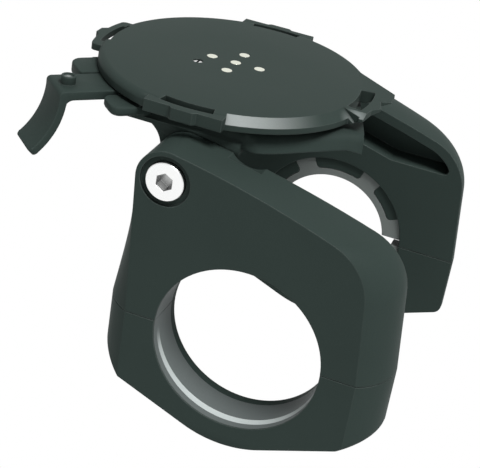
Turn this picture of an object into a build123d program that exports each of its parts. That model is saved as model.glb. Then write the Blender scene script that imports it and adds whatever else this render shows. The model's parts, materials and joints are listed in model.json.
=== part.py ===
from build123d import *
from math import asin, atan2, cos, hypot, radians, sin, tan
import os

# Handlebar mount for a phone. X runs along the bar, +Y points to the pivot, +Z is up.
# The origin is on the bar's axis, halfway between the two clamps. Lengths are in millimetres.

# Bar and bores
bar_diameter = 31.8
split_z = 0.6
split_gap = 0.12
liner_wall = 1.2
liner_clearance = 0.05
mouth_drop = 0.4
mouth_bevel = 1.0
mouth_length = 1.7
outer_lip = 0.25
inner_lip = 1.8
lip_relief = 0.05

# Clamps, both with the same outline
clamp_gap = 45.8
crown_start = 1.0
crown_width = 9.0
crown_steps = 4
front_y = -27.6
front_lean = 0.094
rear_y = 27.5
corner_z = 23.6
corner_round = 11.0
top_crown = 1.0
front_inset = 5.0
rear_inset = 5.7
edge_round = 0.35
cap_radius = 20.7
cap_slope = 21.3
cap_rear_round = 5.0
cap_front_round = 2.0
pocket_wall = 2.0
pocket_boss_wall = 3.5
pocket_floor_z = 19.3
pocket_floor_kink = -10.3
pocket_floor_slope = 15.0
pocket_depth = 6.0
pocket_round = 1.0
scallop_y = 5.3
scallop_z = 36.0
scallop_radius = 5.2
scallop_depth = 2.6

# Pivot
pivot_y = 17.6
pivot_z = 28.4
boss_radius = 5.6
pivot_bolt_radius = 2.0
pivot_clearance = 0.05
pivot_head_radius = 3.6
pivot_head_length = 4.0
pivot_head_stand = 0.3
pivot_head_gap = 0.1
recess_radius = 4.7
recess_depth = 0.7
head_clearance = 0.1
screw_edge = 0.15
socket_width = 3.0
socket_depth = 2.2
pivot_insert_radius = 2.9
pivot_insert_length = 9.0
washer_radius = 4.6
washer_thickness = 0.5

# Cap screws
cap_screw_x = 27.4
cap_screw_y = 22.0
cap_screw_radius = 1.5
cap_screw_head_radius = 2.75
cap_screw_head_length = 3.0
cap_screw_seat_z = -8.0
cap_screw_reach = 6.0
cap_screw_clearance = 0.1
cap_head_clearance = 0.4
cap_insert_radius = 2.1
cap_insert_length = 6.4
cap_socket_width = 2.5

# Keyed spacer in the right bore
spacer_start = 0.5
spacer_length = 3.0
spacer_wall = 3.9
spacer_clearance = 0.05
spacer_upper_foot_z = 1.9
spacer_lower_top_z = 0.3
spacer_relief_wall = 1.8
spacer_relief_depth = 4.0
key_reach = 2.4
key_root = 0.85
key_depth = 1.2
key_round = 1.0
key_angles = (39, 90, 141)
key_spans = (30, 40, 30)
key_clearance = 0.1

# Docking plate
plate_y = 18.6
plate_radius = 25.8
plate_top_z = 39.9
plate_bottom_z = 37.1
plate_flat_radius = 12.0
plate_crown = 0.4
rim_width = 1.5
rim_height = 1.2
ramp_width = 1.8
ramp_height = 1.3
ramp_start = 197
ramp_end = 256
tab_half_width = 7.4
tab_stand = 0.3
tab_bump = 0.6
tab_bump_half_width = 2.0
tab_drop = 0.1
rear_tab_stand = 1.8
rear_tab_bump = 0.9
rear_tab_bump_half_width = 1.2
rear_tab_corner = 1.0
rear_tab_bottom = 0.5
rear_tab_thickness = 1.3
slot_half_length = 4.9
slot_width = 1.9
side_slot_inset = 1.7
rear_slot_inset = 0.5
nose_stand = 4.4
nose_tip = (
    (-7.0, 2.6),
    (-3.6, 2.1),
    (-1.6, 0.8),
    (1.4, 1.7),
    (2.8, 0.0),
    (4.8, 0.0),
    (6.8, 0.4),
    (8.0, 2.0),
)
nose_facet_width = 1.2
nose_facet_height = 0.9
nose_underside_inset = 0.7
nose_underside_slope = 22.8
nose_window_inset = 4.65
nose_window_width = 2.7

# Contacts and what carries them
contact_pitch = 4.8
contact_radius = 1.0
contact_clearance = 0.05
locator_x = -4.1
locator_y = 24.7
locator_radius = 1.0
locator_length = 1.6
locator_recess = 0.2
locator_slot_width = 0.4
locator_slot_depth = 0.5
board_radius = 10.0
board_thickness = 0.8
carrier_radius = 9.0
cavity_radius = 10.4
cavity_floor_z = 35.5
seal_inner_radius = 14.2
seal_width = 1.2
seal_thickness = 0.9

# Bridge between the clamps
bridge_clearance = 0.6
lip_inset = 1.8
lip_half_width = 20.9
lip_top_z = 35.9
lip_waist_z = 34.4
lip_bottom_z = 32.7
lip_top_draft = 25.0
lip_bottom_draft = 16.4
lip_nose_half_width = 8.2
lip_nose_reach = 28.8
lip_front_slope = 18.8
collar_inset = 4.3
collar_foot_z = 33.9
neck_front_y = 8.6
neck_flare = 5.0
neck_overlap = 0.3
plate_screw_ring = 18.6
plate_screw_angles = (45, 95, 225, 315)
plate_screw_radius = 1.0
plate_socket_width = 1.3
plate_screw_head_radius = 1.9
plate_screw_head_length = 1.2
plate_screw_bite = 1.5
plate_screw_clearance = 0.1

# Release lever, in the upright plane that leaves the plate at lever_angle
lever_angle = 135
lever_width = 8.0
lever_gap = 0.4
lever_top_z = 36.8
lever_thickness = 1.7
lever_stand = 9.85
lever_tail_length = 4.2
lever_tail_gap = 1.4
lever_tail_top_z = 36.0
lever_round = 0.8
lever_inner_round = 1.6
handle_bend = 13.55
handle_thickness = 1.45
handle_sweep = 50.5
peg_radius = 1.35
peg_height = 1.55
peg_stand = 7.1
peg_edge = 0.3
ear_start = 17.0
ear_bottom_z = 34.3
ear_round = 1.6
near_ear_width = 5.4
near_ear_stand = 1.3
near_ear_top_z = 36.1
far_ear_width = 7.0
far_ear_stand = 2.9
far_ear_top_z = 36.9
far_ear_corner = 1.5
pin_inset = 1.8
pin_z = 35.4
pin_cover = 1.0
pin_radius = 0.8
pin_clearance = 0.05
hub_radius = 1.4
coil_outer_radius = 1.6
coil_inner_radius = 1.0
coil_width = 2.4
coil_wire_radius = 0.25
coil_gap = 0.3
spring_leg = 4.2

half_turn = 180
bar_radius = bar_diameter / 2
seat_radius = bar_radius + liner_wall
lip_bore_radius = bar_radius + lip_relief
inner_x = clamp_gap / 2
outer_x = inner_x + crown_start + crown_width
body_foot_z = split_z + split_gap / 2
cap_top_z = split_z - split_gap / 2
bridge_half = inner_x - bridge_clearance
pivot_bore_radius = pivot_bolt_radius + pivot_clearance
head_hole_radius = pivot_head_radius + head_clearance
pivot_head_x = outer_x + pivot_head_stand
pivot_seat_x = pivot_head_x - pivot_head_length - pivot_head_gap
pivot_tip_x = bridge_half - pivot_insert_length
cap_screw_places = (cap_screw_y, -cap_screw_y)
plate_edge_z = plate_top_z - plate_crown
lip_radius = plate_radius - lip_inset
collar_radius = plate_radius - collar_inset
nose_reach = plate_radius + nose_stand
nose_window_radius = nose_reach - nose_window_inset
side_slot_radius = plate_radius - side_slot_inset
rear_slot_radius = plate_radius - rear_slot_inset
lever_end = plate_radius + lever_stand
peg_place = plate_radius + peg_stand
pin_place = plate_radius - pin_inset
lever_tail = pin_place - lever_tail_length
lever_foot_z = lever_top_z - lever_thickness
lever_slot = lever_width + 2 * lever_gap
pin_start = pin_cover - lever_slot / 2 - near_ear_width
pin_end = lever_slot / 2 + far_ear_width - pin_cover
reach = 200

plate_axis = Location((0, plate_y, 0))
lever_across = Vector(sin(radians(lever_angle)), -cos(radians(lever_angle)), 0)
lever_plane = Plane(
    origin=(0, plate_y, 0),
    x_dir=(cos(radians(lever_angle)), sin(radians(lever_angle)), 0),
    z_dir=(lever_across.X, lever_across.Y, 0),
)


def along_x(start, end, radius, y=0, z=0):
    """Cylinder along the bar's direction, from start to end."""
    disc = Plane.YZ.offset(start) * Pos(y, z) * Circle(radius)
    return extrude(disc, end - start)


def upright(radius, bottom, top, x=0, y=0):
    """Upright cylinder between two heights."""
    return Pos(x, y, bottom) * extrude(Circle(radius), top - bottom)


def block(x_range, y_range, z_range):
    """Box between two limits on each axis."""
    centre = [sum(span) / 2 for span in (x_range, y_range, z_range)]
    size = [span[1] - span[0] for span in (x_range, y_range, z_range)]
    return Pos(*centre) * Box(*size)


def block_face(x_range, y_range):
    """Flat rectangle between two limits on each axis."""
    centre = [sum(span) / 2 for span in (x_range, y_range)]
    size = [span[1] - span[0] for span in (x_range, y_range)]
    return Pos(*centre) * Rectangle(*size)


def wedge(half_angle, length):
    """Flat triangle that opens from the origin along +X, to cut sectors with."""
    half_width = length * tan(half_angle)
    return make_face(Polyline((0, 0), (length, -half_width), (length, half_width), (0, 0)))


def mirrored(piece):
    """The same piece on the other side of the mount's middle plane."""
    return mirror(piece, about=Plane.YZ)


def corner_nearest(face, point):
    """Corner of a flat outline that lies nearest a point."""
    return face.vertices().sort_by_distance(point)[0]


def crowned(section):
    """Clamp half whose front and rear curve in towards the outer face."""
    start = inner_x + crown_start
    full_turn = 2 * atan2(front_inset, crown_width)
    layers = []
    for step in range(crown_steps + 1):
        turn = full_turn * step / crown_steps
        x = start + crown_width * sin(turn) / sin(full_turn)
        share = (1 - cos(turn)) / (1 - cos(full_turn))
        layers.append(Plane.YZ.offset(x) * section(share))
    straight = extrude(Plane.YZ.offset(inner_x) * section(0), crown_start)
    return straight + loft(layers)


def body_outline(share):
    """Upper clamp outline, where share 0 is the widest section and 1 the outer face."""
    front = front_y + share * front_inset
    corner = Vector(front + front_lean * corner_z, corner_z)
    foot = Vector(front, body_foot_z)
    rear_foot = Vector(rear_y - share * rear_inset, body_foot_z)
    reach_y = pivot_y - corner.X
    reach_z = pivot_z - corner.Y
    rise = atan2(reach_z, reach_y) + asin(boss_radius / hypot(reach_y, reach_z))
    boss_top = Vector(pivot_y - boss_radius * sin(rise), pivot_z + boss_radius * cos(rise))
    boss_rear = Vector(pivot_y + boss_radius, pivot_z)
    boss_middle = Vector(
        pivot_y + boss_radius * cos(radians(50)), pivot_z + boss_radius * sin(radians(50))
    )
    edges = [
        Line(rear_foot, boss_rear),
        ThreePointArc(boss_rear, boss_middle, boss_top),
        SagittaArc(boss_top, corner, -top_crown),
        Line(corner, foot),
        Line(foot, rear_foot),
    ]
    face = make_face(edges)
    return fillet(corner_nearest(face, corner), corner_round)


def cap_outline(share):
    """Lower clamp outline: flat top, round belly and two sloping shoulders."""
    slope = radians(cap_slope)
    rear = rear_y - share * rear_inset
    front = front_y + share * front_inset
    rear_corner = Vector(rear, (rear * sin(slope) - cap_radius) / cos(slope))
    front_corner = Vector(front, (-front * sin(slope) - cap_radius) / cos(slope))
    belly_rear = Vector(cap_radius * sin(slope), -cap_radius * cos(slope))
    belly_front = Vector(-belly_rear.X, belly_rear.Y)
    edges = [
        Line((rear, cap_top_z), rear_corner),
        Line(rear_corner, belly_rear),
        ThreePointArc(belly_rear, (0, -cap_radius), belly_front),
        Line(belly_front, front_corner),
        Line(front_corner, (front, cap_top_z)),
        Line((front, cap_top_z), (rear, cap_top_z)),
    ]
    face = make_face(edges)
    rear_round = cap_rear_round + share * (edge_round - cap_rear_round)
    face = fillet(corner_nearest(face, rear_corner), rear_round)
    return fillet(corner_nearest(face, front_corner), cap_front_round)


def bore_cut():
    """Bore with a lip at each face and a wider seat for the liner between them."""
    lips = along_x(inner_x - 1, outer_x + 1, lip_bore_radius)
    seat = along_x(inner_x + inner_lip, outer_x - outer_lip, seat_radius)
    return lips + seat


def clamp_pocket():
    """Lightening pocket in the inner face, between the bore and the top wall."""
    inner = offset(body_outline(0), -pocket_wall, kind=Kind.INTERSECTION)
    rear_limit = pivot_y - boss_radius - pocket_boss_wall
    rise = (rear_limit - pocket_floor_kink) * tan(radians(pocket_floor_slope))
    window = make_face(
        Polyline(
            (front_y, pocket_floor_z),
            (pocket_floor_kink, pocket_floor_z),
            (rear_limit, pocket_floor_z + rise),
            (rear_limit, pivot_z + boss_radius),
            (front_y, pivot_z + boss_radius),
            (front_y, pocket_floor_z),
        )
    )
    face = inner & window
    floor_corners = face.vertices().group_by(Axis.Y)[0]
    rear_corners = face.vertices().group_by(Axis.X)[-1]
    face = fillet(ShapeList(set(floor_corners + rear_corners)), pocket_round)
    return extrude(Plane.YZ.offset(inner_x) * face, pocket_depth)


def scallop():
    """Shallow hollow in the top edge beside the boss, where the bridge swings past."""
    return along_x(inner_x - 1, inner_x + scallop_depth, scallop_radius, scallop_y, scallop_z)


def cap_screw_cut():
    """Clearance holes, head recesses and insert holes for the two cap screws."""
    cuts = []
    for y in cap_screw_places:
        shank_hole = cap_screw_radius + cap_screw_clearance
        hole = upright(shank_hole, -reach, cap_top_z + 1, cap_screw_x, y)
        head_hole = cap_screw_head_radius + cap_head_clearance
        recess = upright(head_hole, -reach, cap_screw_seat_z, cap_screw_x, y)
        pocket = upright(cap_insert_radius, 0, body_foot_z + cap_insert_length, cap_screw_x, y)
        cuts += [hole, recess, pocket]
    return cuts


def clamp_body():
    """Upper half of a clamp, for the right side."""
    body = crowned(body_outline)
    body -= bore_cut()
    body -= clamp_pocket()
    body -= scallop()
    body -= along_x(0, reach, pivot_bore_radius, pivot_y, pivot_z)
    body -= along_x(pivot_seat_x, reach, head_hole_radius, pivot_y, pivot_z)
    body -= along_x(outer_x - recess_depth, reach, recess_radius, pivot_y, pivot_z)
    return body - cap_screw_cut()


def clamp_cap():
    """Lower half of a clamp, for the right side."""
    cap = crowned(cap_outline)
    cap -= bore_cut()
    cap -= mouth_cut()
    return cap - cap_screw_cut()


def mouth_cut():
    """Crescent-shaped, bevelled mouth at the outer face, deepest at the bottom."""
    start = outer_x - mouth_length
    bore = Plane.YZ.offset(start - mouth_bevel) * Circle(bar_radius)
    mouth = Plane.YZ.offset(start) * Pos(0, -mouth_drop) * Circle(bar_radius)
    return loft([bore, mouth], ruled=True) + extrude(mouth, 2 * mouth_length)


def liner():
    """Full liner ring, before it is split."""
    start = inner_x + inner_lip + liner_clearance
    end = outer_x - outer_lip - liner_clearance
    return sleeve(start, end, seat_radius - liner_clearance, bar_radius, 0, 0)


def above(height, piece):
    """Part of a piece above a height."""
    return piece & block((-reach, reach), (-reach, reach), (height, reach))


def below(height, piece):
    """Part of a piece below a height."""
    return piece & block((-reach, reach), (-reach, reach), (-reach, height))


def key_sector(middle, span, inner, outer):
    """Rounded sector of a ring, drawn about the bar's axis."""
    ring = Circle(outer) - Circle(inner)
    sector = ring & wedge(radians(span / 2), 2 * outer)
    inner_corners = sector.vertices().sort_by_distance((0, 0))[:2]
    return Rot(0, 0, middle) * fillet(inner_corners, key_round)


def keys(slack):
    """Lugs on the right clamp's inner lip, or with some slack the notches that take them."""
    start = inner_x + spacer_start
    lugs = []
    for middle, span in zip(key_angles, key_spans):
        wide = span + 2 * slack * span / key_spans[0]
        sector = key_sector(middle, wide, bar_radius - key_reach - slack, bar_radius + key_root)
        lugs.append(extrude(Plane.YZ.offset(start) * sector, key_depth + slack))
    return lugs


def spacer_ring():
    """Ring that narrows the right bore to the thin bar, before it is split."""
    start = inner_x + spacer_start
    outside = along_x(start, start + spacer_length, bar_radius - spacer_clearance)
    return outside - along_x(start - 1, start + spacer_length + 1, bar_radius - spacer_wall)


def spacer_upper():
    """Upper spacer half, notched for the clamp's lugs."""
    return above(spacer_upper_foot_z, spacer_ring() - keys(key_clearance))


def spacer_lower():
    """Lower spacer half, relieved beside the split."""
    half_width = bar_radius - spacer_relief_wall
    relief = block((0, reach), (-half_width, half_width), (-spacer_relief_depth, reach))
    return below(spacer_lower_top_z, spacer_ring() - relief)


def socket_screw(radius, length, head_radius, head_length, key_width, key_reach):
    """Socket cap screw along +Z, with the shank below z = 0 and the head above."""
    head = extrude(Circle(head_radius), head_length)
    head = chamfer(head.edges().group_by(Axis.Z)[-1], screw_edge)
    shank = Pos(0, 0, -length) * extrude(Circle(radius), length)
    key = RegularPolygon(key_width / 2, 6, major_radius=False)
    return head + shank - Pos(0, 0, head_length - key_reach) * extrude(key, key_reach)


def pivot_bolt():
    """Right pivot bolt, screwed into the bridge."""
    length = pivot_seat_x + pivot_head_gap - pivot_tip_x
    bolt = socket_screw(
        pivot_bolt_radius, length, pivot_head_radius, pivot_head_length, socket_width, socket_depth
    )
    return Pos(pivot_seat_x + pivot_head_gap, pivot_y, pivot_z) * Rot(0, 90, 0) * bolt


def sleeve(start, end, outer, inner, y, z):
    """Plain tube along the bar's direction."""
    return along_x(start, end, outer, y, z) - along_x(start - 1, end + 1, inner, y, z)


def pivot_insert():
    """Threaded insert in the right end of the bridge."""
    inside = pivot_bolt_radius
    return sleeve(pivot_tip_x, bridge_half, pivot_insert_radius, inside, pivot_y, pivot_z)


def friction_washer():
    """Washer between the bridge and the right clamp."""
    inside = pivot_bore_radius
    end = bridge_half + washer_thickness
    return sleeve(bridge_half, end, washer_radius, inside, pivot_y, pivot_z)


def cap_screws():
    """The two screws of the right cap, with their heads down."""
    length = cap_screw_reach - cap_screw_seat_z
    screw = socket_screw(
        cap_screw_radius,
        length,
        cap_screw_head_radius,
        cap_screw_head_length,
        cap_socket_width,
        cap_screw_head_length / 2,
    )
    turned = Rot(half_turn, 0, 0) * screw
    return [Pos(cap_screw_x, y, cap_screw_seat_z) * turned for y in cap_screw_places]


def cap_inserts():
    """The two threaded inserts of the right clamp body."""
    top = body_foot_z + cap_insert_length
    inserts = []
    for y in cap_screw_places:
        tube = upright(cap_insert_radius, body_foot_z, top, cap_screw_x, y)
        inserts.append(tube - upright(cap_screw_radius, 0, top + 1, cap_screw_x, y))
    return inserts


def edge_slot(angle, radius, width):
    """Curved slot near the plate's edge."""
    ring = Circle(radius + width / 2) - Circle(radius - width / 2)
    face = Rot(0, 0, angle) * (ring & wedge(slot_half_length / radius, 2 * radius))
    return plate_axis * Pos(0, 0, plate_bottom_z - 1) * extrude(face, plate_top_z)


def side_tab(angle):
    """Straight-sided tab on the plate's rim, with a small bump in its middle."""
    inner = plate_radius / 2
    far = plate_radius + tab_stand
    bar = Pos((inner + far) / 2, 0) * Rectangle(far - inner, 2 * tab_half_width)
    face = Rot(0, 0, angle) * (bar + tab_nub(far, tab_bump, tab_bump_half_width))
    height = plate_edge_z - tab_drop - plate_bottom_z
    return plate_axis * Pos(0, 0, plate_bottom_z) * extrude(face, height)


def tab_nub(far, bump, half_width):
    """Flat bump with slanted flanks at the far end of a tab."""
    shoulder = half_width + bump
    return make_face(
        Polyline(
            (far - bump, -shoulder),
            (far, -shoulder),
            (far + bump, -half_width),
            (far + bump, half_width),
            (far, shoulder),
            (far - bump, shoulder),
            (far - bump, -shoulder),
        )
    )


def rear_tab():
    """Thin tab at the back, rounded like the rim."""
    far = plate_radius + rear_tab_stand
    band = Pos(far / 2, 0) * Rectangle(far, 2 * tab_half_width)
    face = band & Circle(far)
    face = fillet(face.vertices().group_by(Axis.X)[-1], rear_tab_corner)
    face += tab_nub(far, rear_tab_bump, rear_tab_bump_half_width)
    tab = extrude(Rot(0, 0, 90) * face, rear_tab_thickness)
    return plate_axis * Pos(0, 0, plate_bottom_z + rear_tab_bottom) * tab


def plate_nose():
    """Thin nose at the plate's front, with a jagged tip and a slanted right flank."""
    tip = [(x, back - nose_reach) for x, back in nose_tip]
    flank_y = -plate_radius * cos(radians(45))
    corner_x, corner_y = tip[-1]
    root = [(corner_x + flank_y - corner_y, flank_y), (tip[0][0], flank_y)]
    face = make_face(Polyline(*tip, *root, tip[0]))
    nose = Pos(0, 0, plate_bottom_z) * extrude(face, plate_edge_z - plate_bottom_z)
    top_edges = nose.edges().group_by(Axis.Z)[-1]
    facet_edge = top_edges.filter_by(Axis.Y).sort_by(Axis.X)[0]
    nose = chamfer(facet_edge, nose_facet_height, nose_facet_width)
    flank_edge = nose.edges().group_by(Axis.Z)[-1].sort_by(Axis.X)[-1]
    nose = chamfer(flank_edge, rim_height)
    start = nose_underside_inset - plate_radius
    rise = (start + 2 * nose_reach) * tan(radians(nose_underside_slope))
    underside = make_face(
        Polyline((start, 0), (-2 * nose_reach, 0), (-2 * nose_reach, rise), (start, 0))
    )
    wedge_cut = extrude(Plane.YZ * Pos(0, plate_bottom_z) * underside, reach, both=True)
    return plate_axis * (nose - wedge_cut)


def ramp_cut():
    """Flat lead-in ramp in place of the rounded rim, along the front left."""
    low_z = plate_edge_z - ramp_height
    profile = make_face(
        Polyline(
            (plate_radius + ramp_width, low_z - ramp_height),
            (plate_radius + ramp_width, low_z + 2 * ramp_height),
            (plate_radius - 2 * ramp_width, low_z + 2 * ramp_height),
            (plate_radius + ramp_width, low_z - ramp_height),
        )
    )
    ring = revolve(Plane.XZ * profile, Axis.Z, ramp_end - ramp_start)
    return plate_axis * Rot(0, 0, ramp_start) * ring


def contact_places():
    """Centres of the five contacts, one in the middle and four around it."""
    around = [(contact_pitch, 0), (0, contact_pitch), (-contact_pitch, 0), (0, -contact_pitch)]
    return [(x, plate_y + y) for x, y in [(0, 0)] + around]


def plate_screw_places():
    """Centres of the screws that hold the plate on the bridge."""
    places = []
    for angle in plate_screw_angles:
        turn = radians(angle)
        places.append((plate_screw_ring * cos(turn), plate_y + plate_screw_ring * sin(turn)))
    return places


def plate_disc():
    """Disc with a gently crowned top and a rounded rim."""
    top_edge = Vector(plate_radius - rim_width, plate_edge_z)
    rim_foot = Vector(plate_radius, plate_edge_z - rim_height)
    run = top_edge.X - plate_flat_radius
    crown_radius = (run ** 2 + plate_crown ** 2) / (2 * plate_crown)
    profile = make_face(
        [
            Line((0, plate_bottom_z), (plate_radius, plate_bottom_z)),
            Line((plate_radius, plate_bottom_z), rim_foot),
            RadiusArc(rim_foot, top_edge, -rim_width),
            RadiusArc(top_edge, (plate_flat_radius, plate_top_z), -crown_radius),
            Line((plate_flat_radius, plate_top_z), (0, plate_top_z)),
            Line((0, plate_top_z), (0, plate_bottom_z)),
        ]
    )
    return plate_axis * revolve(Plane.XZ * profile, Axis.Z, 360)


def docking_plate():
    """Round plate with four slotted tabs, a lead-in ramp and holes for the contacts."""
    plate = plate_disc() + side_tab(0) + side_tab(half_turn) + rear_tab() + plate_nose()
    plate -= ramp_cut()
    plate -= edge_slot(0, side_slot_radius, slot_width)
    plate -= edge_slot(half_turn, side_slot_radius, slot_width)
    plate -= edge_slot(90, rear_slot_radius, slot_width)
    plate -= edge_slot(270, nose_window_radius, nose_window_width)
    hole = contact_radius + contact_clearance
    plate -= [upright(hole, plate_bottom_z - 1, plate_top_z + 1, x, y) for x, y in contact_places()]
    screw_top = plate_bottom_z + plate_screw_bite
    for x, y in plate_screw_places():
        plate -= upright(plate_screw_radius, plate_bottom_z - 1, screw_top, x, y)
    locator_floor = plate_top_z - locator_length
    return plate - upright(locator_radius, locator_floor, plate_top_z + 1, locator_x, locator_y)


def contact_pads():
    """Five contact pins, flush with the plate and standing on the board."""
    bottom = cavity_floor_z + board_thickness
    return [upright(contact_radius, bottom, plate_top_z, x, y) for x, y in contact_places()]


def contact_carrier():
    """Insulating disc that holds the contact pins upright on the board."""
    bottom = cavity_floor_z + board_thickness
    disc = upright(carrier_radius, bottom, plate_bottom_z, 0, plate_y)
    hole = contact_radius
    return disc - [upright(hole, bottom - 1, plate_bottom_z + 1, x, y) for x, y in contact_places()]


def contact_board():
    """Round circuit board under the carrier."""
    return upright(board_radius, cavity_floor_z, cavity_floor_z + board_thickness, 0, plate_y)


def seal_ring():
    """Flat seal between the bridge and the plate."""
    bottom = plate_bottom_z - seal_thickness
    outer = upright(seal_inner_radius + seal_width, bottom, plate_bottom_z, 0, plate_y)
    return outer - upright(seal_inner_radius, bottom - 1, plate_bottom_z + 1, 0, plate_y)


def locating_screw():
    """Small screw beside the contacts, a little below the plate's face."""
    top = plate_top_z - locator_recess
    shank = upright(locator_radius, plate_top_z - locator_length, top, locator_x, locator_y)
    slot = block(
        (locator_x - locator_radius, locator_x + locator_radius),
        (locator_y - locator_slot_width / 2, locator_y + locator_slot_width / 2),
        (top - locator_slot_depth, top + 1),
    )
    return shank - slot


def neck():
    """Knuckle on the pivot axis, with a hollow flare up to the collar at the back."""
    rear = pivot_y + boss_radius
    front = neck_front_y
    top = collar_foot_z + neck_overlap
    flare_start = top - neck_flare
    outline = make_face(
        [
            ThreePointArc(
                (rear, pivot_z),
                (pivot_y, pivot_z - boss_radius),
                (pivot_y - boss_radius, pivot_z),
            ),
            Line((pivot_y - boss_radius, pivot_z), (front, flare_start + neck_flare / 2)),
            Line((front, flare_start + neck_flare / 2), (front, top)),
            Line((front, top), (rear + neck_flare, top)),
            RadiusArc((rear + neck_flare, top), (rear, flare_start), -neck_flare),
            Line((rear, flare_start), (rear, pivot_z)),
        ]
    )
    return extrude(Plane.YZ.offset(-bridge_half) * outline, 2 * bridge_half)


def drafted(outline):
    """Flange of one outline, widest at its waist and drafted above and below it."""
    waist = plate_axis * Pos(0, 0, lip_waist_z) * outline
    upper = extrude(waist, lip_top_z - lip_waist_z, taper=lip_top_draft)
    lower = extrude(waist, lip_bottom_z - lip_waist_z, taper=-lip_bottom_draft)
    return upper + lower


def lip():
    """Flange under the plate, with slanted flanks and a pointed nose, cut off at the clamps."""
    flank = lip_radius * cos(radians(45))
    half = lip_nose_half_width
    shoulders = make_face(
        Polyline(
            (-flank, -flank),
            (-half / 2, half / 2 - 2 * flank),
            (half / 2, half / 2 - 2 * flank),
            (flank, -flank),
            (-flank, -flank),
        )
    )
    nose = Pos(0, -lip_nose_reach / 2) * Rectangle(2 * half, lip_nose_reach)
    flange = drafted(Circle(lip_radius) + shoulders) + drafted(nose)
    front = block((-reach, reach), (-reach, 0), (0, reach))
    flange -= plate_axis * Pos(-half, -lip_nose_reach) * Rot(0, 0, lip_front_slope) * front
    return flange & block((-lip_half_width, lip_half_width), (-reach, reach), (0, reach))


def lever_block(along, height, across):
    """Box in the lever's own frame: along it, up and across it."""
    return lever_plane.location * block(along, height, across)


def lever_rod(radius, start, end):
    """Round bar on the pin's axis, from start to end across the lever."""
    disc = lever_plane.offset(start) * Pos(pin_place, pin_z) * Circle(radius)
    return extrude(disc, end - start)


def ear(along, height, across):
    """One ear of the lever's fork, rounded under its outer end."""
    piece = lever_block(along, height, across)
    low_edges = piece.edges().group_by(Axis.Z)[0]
    outer_point = lever_plane.from_local_coords(Vector(along[1], height[0], sum(across) / 2))
    return fillet(low_edges.sort_by_distance(outer_point)[0], ear_round)


def lever_ears():
    """Two ears that carry the lever's pin, the far one longer, wider and higher."""
    half = lever_slot / 2
    near_end = plate_radius + near_ear_stand
    far_end = plate_radius + far_ear_stand
    near = ear((ear_start, near_end), (ear_bottom_z, near_ear_top_z), (-half - near_ear_width, -half))
    far = ear((ear_start, far_end), (ear_bottom_z, far_ear_top_z), (half, half + far_ear_width))
    corner = lever_plane.from_local_coords(Vector(far_end, pin_z, half + far_ear_width))
    far_edge = far.edges().filter_by(Axis.Z).sort_by_distance(corner)[0]
    return near + chamfer(far_edge, far_ear_corner)


def bridge():
    """Bridge that joins the clamps and carries the plate, the contacts and the lever."""
    body = neck() + lip()
    body += upright(collar_radius, collar_foot_z, plate_bottom_z, 0, plate_y) & block(
        (-lip_half_width, lip_half_width), (-reach, reach), (0, reach)
    )
    body += lever_ears()
    body -= upright(cavity_radius, cavity_floor_z, reach, 0, plate_y)
    groove_floor = plate_bottom_z - seal_thickness
    groove = upright(seal_inner_radius + seal_width, groove_floor, reach, 0, plate_y)
    body -= groove - upright(seal_inner_radius, 0, reach, 0, plate_y)
    slot_start = lever_tail - lever_tail_gap
    body -= lever_block((slot_start, reach), (0, reach), (-lever_slot / 2, lever_slot / 2))
    body -= lever_rod(pin_radius, pin_start, pin_end)
    for side in (-1, 1):
        start, end = sorted((side * pivot_tip_x, side * reach))
        body -= along_x(start, end, pivot_insert_radius, pivot_y, pivot_z)
    recess = plate_screw_head_radius + plate_screw_clearance
    seat = collar_foot_z + plate_screw_head_length
    for x, y in plate_screw_places():
        body -= upright(plate_screw_radius + plate_screw_clearance, 0, reach, x, y)
        body -= upright(recess, 0, seat, x, y)
    return body


def plate_screws():
    """Screws that pull the plate down on the bridge, with their heads below."""
    seat = collar_foot_z + plate_screw_head_length
    length = plate_bottom_z + plate_screw_bite - seat
    screw = socket_screw(
        plate_screw_radius,
        length,
        plate_screw_head_radius,
        plate_screw_head_length,
        plate_socket_width,
        plate_screw_head_length / 2,
    )
    return [Pos(x, y, seat) * Rot(half_turn, 0, 0) * screw for x, y in plate_screw_places()]


def lever_outline():
    """Side view of the lever: tail, hub, arm and the handle that sweeps down and out."""
    arm_z = (lever_top_z + lever_foot_z) / 2
    arm = block_face((pin_place, lever_end), (lever_foot_z, lever_top_z))
    tail = block_face((lever_tail, pin_place), (2 * pin_z - lever_tail_top_z, lever_tail_top_z))
    ring = Circle(handle_bend + handle_thickness) - Circle(handle_bend)
    half = handle_sweep / 2
    sector = Rot(0, 0, half_turn + half) * wedge(radians(half), 2 * handle_bend)
    handle = Pos(lever_end + handle_bend, arm_z) * (ring & sector)
    hub = Pos(pin_place, pin_z) * Circle(hub_radius)
    face = arm + tail + handle + hub
    top_corner = corner_nearest(face, (lever_end, lever_top_z))
    face = fillet(top_corner, lever_round)
    inner_corner = corner_nearest(face, (lever_end - handle_thickness, lever_foot_z))
    return fillet(inner_corner, lever_inner_round)


def release_lever():
    """Sprung lever with its locking peg."""
    half = lever_width / 2
    lever = extrude(lever_plane * lever_outline(), half, both=True)
    lever -= lever_rod(pin_radius + pin_clearance, -reach, reach)
    slot_half = coil_width / 2 + coil_gap
    slot_end = pin_place + coil_outer_radius + coil_gap
    lever -= lever_block((0, slot_end), (0, reach), (-slot_half, slot_half))
    peg_point = lever_plane.from_local_coords(Vector(peg_place, 0, 0))
    peg = upright(peg_radius, lever_foot_z, lever_top_z + peg_height, peg_point.X, peg_point.Y)
    peg = chamfer(peg.edges().group_by(Axis.Z)[-1], peg_edge)
    return lever + peg


def lever_pin():
    """Pin through the lever's hub, with blind ends in both ears."""
    return lever_rod(pin_radius, pin_start, pin_end)


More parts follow.
